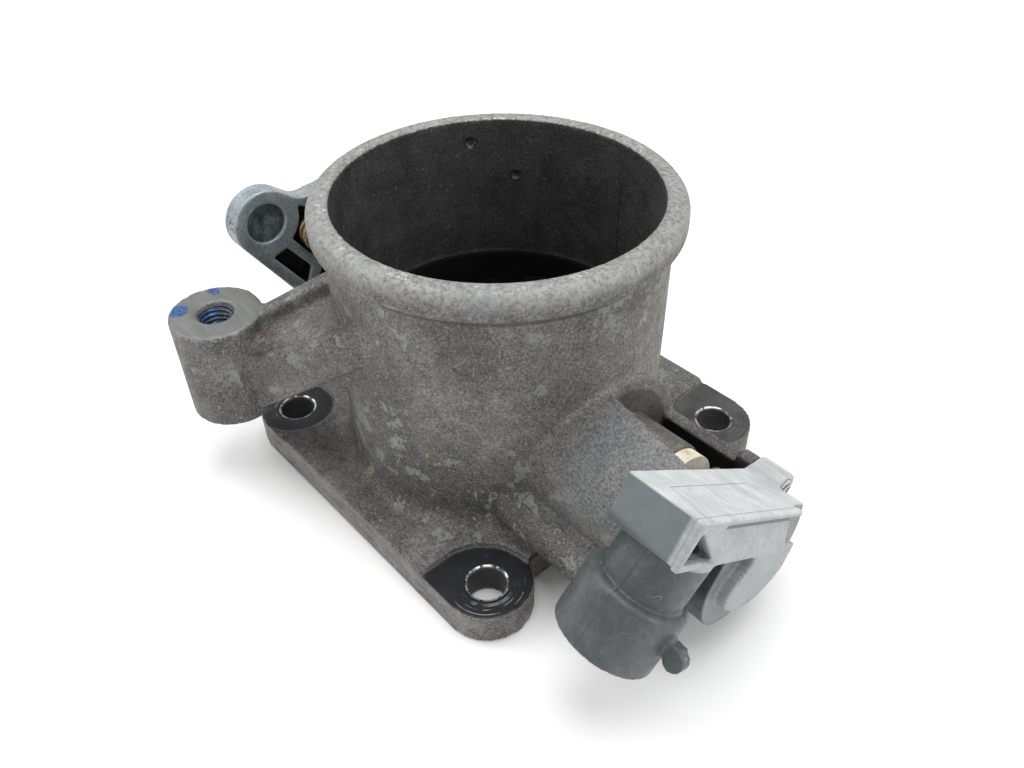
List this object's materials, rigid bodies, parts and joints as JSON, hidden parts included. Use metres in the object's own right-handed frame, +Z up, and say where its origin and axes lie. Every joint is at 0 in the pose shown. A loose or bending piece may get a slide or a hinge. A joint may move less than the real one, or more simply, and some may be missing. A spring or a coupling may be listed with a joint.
{
  "type": "throttle body",
  "caption": "Cast throttle body with a four-bolt square flange, butterfly plate on a cross shaft, cable lever, bracket boss and rotary position sensor.",
  "frame": {"origin": "on the air bore's axis, in the plane of the flange's mounting face", "axes": "+Z up the air bore from the flange to the hose rim, +X along the throttle shaft towards the position sensor, -Y towards the side with the bracket boss"},
  "size_m": [0.1565, 0.1161, 0.0813],
  "materials": {
    "cast_alloy": "rough as-cast, weathered",
    "steel": "satin",
    "brass": "dull",
    "black_rubber": "matte",
    "cream_plastic": "matte",
    "zinc_alloy": "dull die-cast zinc",
    "bronze_wire": "dull",
    "black_plastic": "matte",
    "grey_plastic": "matte, scuffed",
    "board": "matte"
  },
  "bodies": {
    "body": {"housing": "cast_alloy", "bearing_lever_side": "steel", "bearing_sensor_side": "steel", "seal_lever_side": "black_rubber", "seal_sensor_side": "black_rubber", "shaft_cap": "cream_plastic", "return_spring": "bronze_wire", "spring_bush": "black_plastic", "stop_screw": "steel", "stop_locknut": "steel", "sensor_housing": "grey_plastic", "sensor_cover": "black_plastic", "sensor_track_board": "board", "sensor_terminals": "brass", "sensor_rotor_spring": "steel", "sensor_seal": "black_rubber", "sensor_screws": "steel"},
    "throttle": {"throttle_shaft": "steel", "throttle_plate": "brass", "plate_screws": "brass", "throttle_lever": "zinc_alloy", "lever_stud": "steel", "lever_washer": "steel", "lever_nut": "steel", "sensor_rotor": "cream_plastic", "sensor_wiper": "brass"}
  },
  "joints": [
    {"name": "throttle_turn", "type": "hinge", "parent": "body", "child": "throttle", "pos_m": [0, 0, 0.0235], "axis": [1, 0, 0], "range_deg": [0, 80], "stiffness_Nm_per_rad": 0.15, "springref_deg": -114.59, "deforming": ["return_spring", "sensor_rotor_spring"]}
  ]
}
